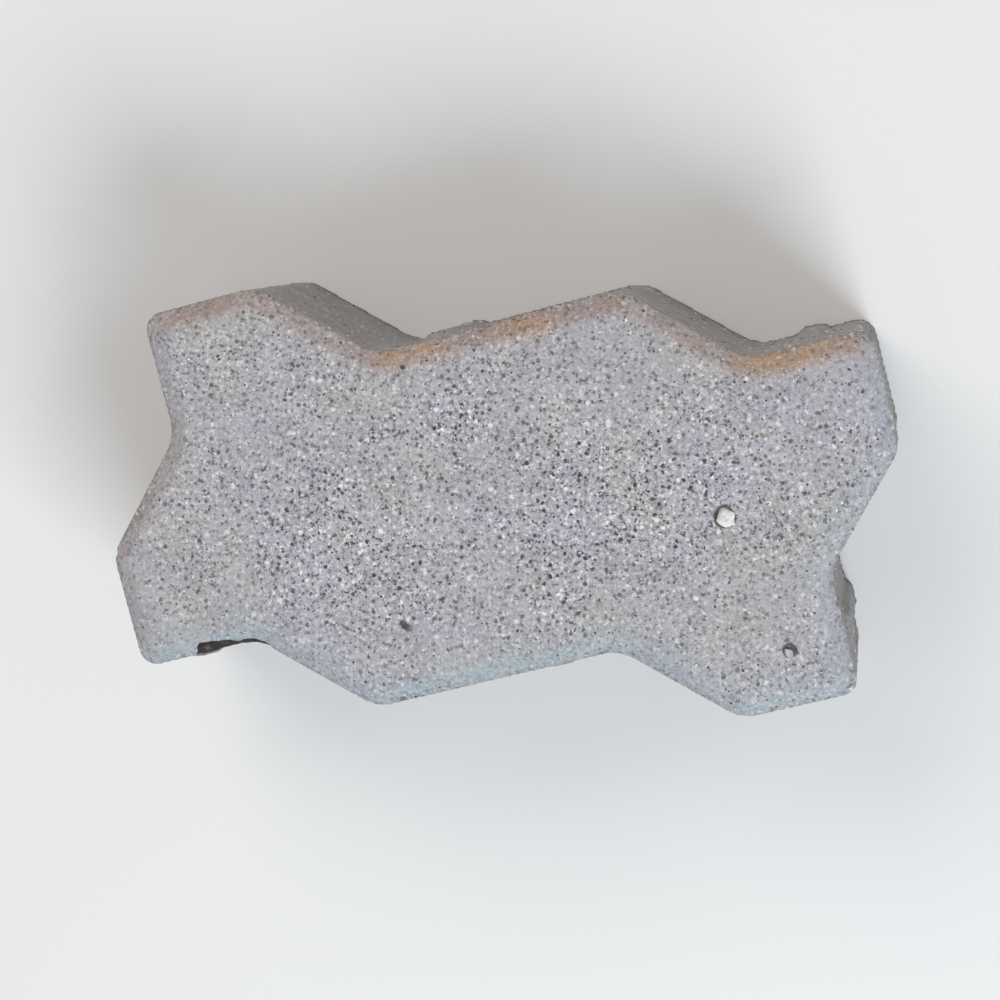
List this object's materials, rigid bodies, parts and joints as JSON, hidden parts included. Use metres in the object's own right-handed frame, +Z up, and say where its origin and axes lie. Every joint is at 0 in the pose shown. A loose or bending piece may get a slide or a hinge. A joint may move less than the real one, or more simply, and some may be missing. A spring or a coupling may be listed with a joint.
{
  "type": "concrete paving stone",
  "caption": "Zigzag interlocking concrete paving stone with a bevelled wearing face, wavy sides and low spacer nibs.",
  "frame": {"origin": "middle of the underside", "axes": "+X along the length, +Y along the width, +Z up, out of the wearing face"},
  "size_m": [0.2414, 0.1288, 0.08],
  "materials": {
    "concrete": "matte, fine-grained cast concrete"
  },
  "bodies": {
    "root": {"paving_stone": "concrete"}
  },
  "joints": []
}
